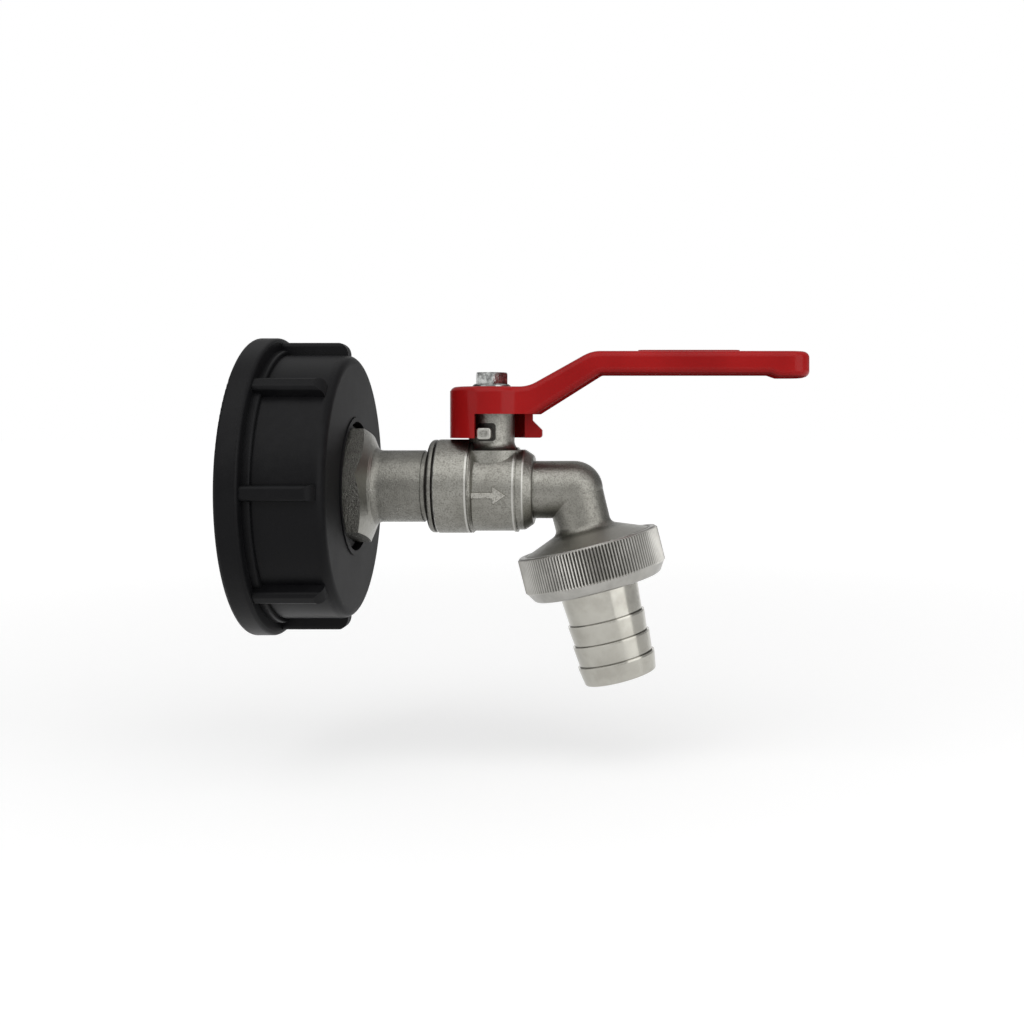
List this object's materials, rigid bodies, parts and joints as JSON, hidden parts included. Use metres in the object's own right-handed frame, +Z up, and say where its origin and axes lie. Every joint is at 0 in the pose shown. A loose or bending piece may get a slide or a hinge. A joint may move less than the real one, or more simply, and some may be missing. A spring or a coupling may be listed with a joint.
{
  "type": "ibc tank valve",
  "caption": "Tank tap: ribbed coarse-thread coupling cap, hexagon inlet, quarter-turn ball valve with a red lever, elbow spout, knurled union nut and barbed hose tail",
  "frame": {"origin": "on the valve axis in the plane of the cap's open mouth, where the tank's thread enters", "axes": "+X along the valve axis the way the liquid flows, +Z up along the lever's stem, +Y away from the side that the picture shows"},
  "size_m": [0.1475, 0.0796, 0.0934],
  "materials": {
    "black_plastic": "moulded black polypropylene, satin sheen",
    "bush_plastic": "moulded black polypropylene",
    "black_rubber": "matt EPDM rubber",
    "satin_nickel": "brass, sand-blasted and nickel plated, satin grey",
    "bright_nickel": "brass, turned and nickel plated, bright",
    "chromed_ball": "brass, polished and chromed",
    "white_ptfe": "white PTFE",
    "red_coat": "pressed steel, glossy red coating",
    "zinc_nut": "zinc plated steel"
  },
  "bodies": {
    "tap": {"adapter_bush": "bush_plastic", "tank_gasket": "black_rubber", "hex_washer": "black_rubber", "inlet_connector": "satin_nickel", "connector_o_ring": "black_rubber", "valve_body": "satin_nickel", "inlet_seat": "white_ptfe", "outlet_seat": "white_ptfe", "thrust_washer": "white_ptfe"},
    "cap": {"coupling_cap": "black_plastic"},
    "handle": {"lever": "red_coat", "lever_nut": "zinc_nut", "stem": "bright_nickel", "stem_o_ring_lower": "black_rubber", "stem_o_ring_upper": "black_rubber", "ball": "chromed_ball"},
    "tail": {"hose_tail": "bright_nickel", "tail_gasket": "black_rubber"},
    "nut": {"union_nut": "bright_nickel"}
  },
  "joints": [
    {"name": "cap_turn", "type": "hinge", "parent": "tap", "child": "cap", "pos_m": [0, 0, 0], "axis": [1, 0, 0], "continuous": true},
    {"name": "lever_turn", "type": "hinge", "parent": "tap", "child": "handle", "pos_m": [0.0621, 0, 0], "axis": [0, 0, 1], "range_deg": [-90, 0]},
    {"name": "tail_travel", "type": "slide", "parent": "tap", "child": "tail", "axis": [0.2419, 0, -0.9703], "range_m": [0, 0.00924]},
    {"name": "nut_turn", "type": "hinge", "parent": "tail", "child": "nut", "pos_m": [0.08934, 0, -0.02077], "axis": [0.2419, 0, -0.9703], "range_deg": [0, 1440]}
  ],
  "couplings": [
    {"joint": "tail_travel", "follows": "nut_turn", "m_per_rad": 0.00036749}
  ]
}
